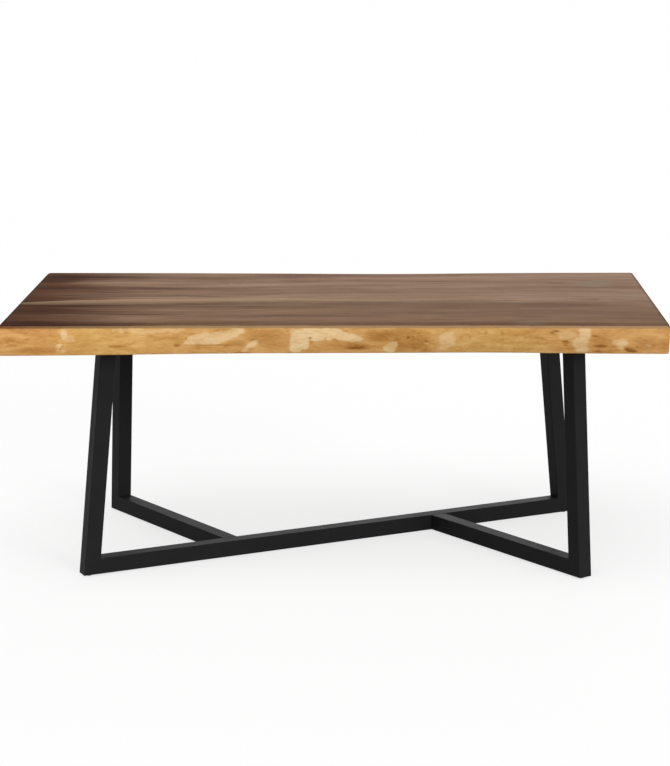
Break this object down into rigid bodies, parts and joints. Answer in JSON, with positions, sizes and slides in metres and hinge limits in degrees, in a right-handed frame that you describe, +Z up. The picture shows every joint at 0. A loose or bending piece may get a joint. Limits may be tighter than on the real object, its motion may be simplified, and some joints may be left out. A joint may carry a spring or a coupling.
{
  "type": "dining table",
  "caption": "Live-edge wooden slab table on a black square-tube steel base, with leaning legs, a diagonal floor rail, two side rails and levelling glides.",
  "frame": {"origin": "on the floor, under the middle of the table's bounding box", "axes": "+X along the table to its right end, +Y from its front edge to its back edge, +Z up"},
  "size_m": [1.869, 1.0319, 0.751],
  "materials": {
    "slab_wood": "oiled hardwood, dark heartwood top with golden sapwood along the edges",
    "black_steel": "satin black powder coat on mild steel",
    "zinc_steel": "bright zinc plate",
    "black_plastic": "moulded nylon"
  },
  "bodies": {
    "table": {"tabletop": "slab_wood", "floor_rail_long": "black_steel", "floor_rail_left": "black_steel", "floor_rail_right": "black_steel", "leg_front_left": "black_steel", "top_plate_front_left": "black_steel", "plate_screws_front_left": "zinc_steel", "plate_washers_front_left": "zinc_steel", "thread_inserts_front_left": "zinc_steel", "glide_nut_front_left": "zinc_steel", "leg_front_right": "black_steel", "top_plate_front_right": "black_steel", "plate_screws_front_right": "zinc_steel", "plate_washers_front_right": "zinc_steel", "thread_inserts_front_right": "zinc_steel", "glide_nut_front_right": "zinc_steel", "leg_rear_left": "black_steel", "top_plate_rear_left": "black_steel", "plate_screws_rear_left": "zinc_steel", "plate_washers_rear_left": "zinc_steel", "thread_inserts_rear_left": "zinc_steel", "glide_nut_rear_left": "zinc_steel", "leg_rear_right": "black_steel", "top_plate_rear_right": "black_steel", "plate_screws_rear_right": "zinc_steel", "plate_washers_rear_right": "zinc_steel", "thread_inserts_rear_right": "zinc_steel", "glide_nut_rear_right": "zinc_steel"},
    "front_left_sole": {"glide_sole_front_left": "black_plastic"},
    "front_left_screw": {"glide_screw_front_left": "zinc_steel"},
    "front_right_sole": {"glide_sole_front_right": "black_plastic"},
    "front_right_screw": {"glide_screw_front_right": "zinc_steel"},
    "rear_left_sole": {"glide_sole_rear_left": "black_plastic"},
    "rear_left_screw": {"glide_screw_rear_left": "zinc_steel"},
    "rear_right_sole": {"glide_sole_rear_right": "black_plastic"},
    "rear_right_screw": {"glide_screw_rear_right": "zinc_steel"}
  },
  "joints": [
    {"name": "front_left_glide_travel", "type": "slide", "parent": "table", "child": "front_left_sole", "axis": [0, 0, -1], "range_m": [0, 0.009]},
    {"name": "front_left_glide_turn", "type": "hinge", "parent": "front_left_sole", "child": "front_left_screw", "pos_m": [-0.7038, -0.36318, 0], "axis": [0, 0, -1], "range_deg": [0, 2160]},
    {"name": "front_right_glide_travel", "type": "slide", "parent": "table", "child": "front_right_sole", "axis": [0, 0, -1], "range_m": [0, 0.009]},
    {"name": "front_right_glide_turn", "type": "hinge", "parent": "front_right_sole", "child": "front_right_screw", "pos_m": [0.71201, -0.35688, 0], "axis": [0, 0, -1], "range_deg": [0, 2160]},
    {"name": "rear_left_glide_travel", "type": "slide", "parent": "table", "child": "rear_left_sole", "axis": [0, 0, -1], "range_m": [0, 0.009]},
    {"name": "rear_left_glide_turn", "type": "hinge", "parent": "rear_left_sole", "child": "rear_left_screw", "pos_m": [-0.70575, 0.37469, 0], "axis": [0, 0, -1], "range_deg": [0, 2160]},
    {"name": "rear_right_glide_travel", "type": "slide", "parent": "table", "child": "rear_right_sole", "axis": [0, 0, -1], "range_m": [0, 0.009]},
    {"name": "rear_right_glide_turn", "type": "hinge", "parent": "rear_right_sole", "child": "rear_right_screw", "pos_m": [0.7103, 0.38118, 0], "axis": [0, 0, -1], "range_deg": [0, 2160]}
  ],
  "couplings": [
    {"joint": "front_left_glide_turn", "follows": "front_left_glide_travel", "rad_per_m": 4188.8},
    {"joint": "front_right_glide_turn", "follows": "front_right_glide_travel", "rad_per_m": 4188.8},
    {"joint": "rear_left_glide_turn", "follows": "rear_left_glide_travel", "rad_per_m": 4188.8},
    {"joint": "rear_right_glide_turn", "follows": "rear_right_glide_travel", "rad_per_m": 4188.8}
  ]
}
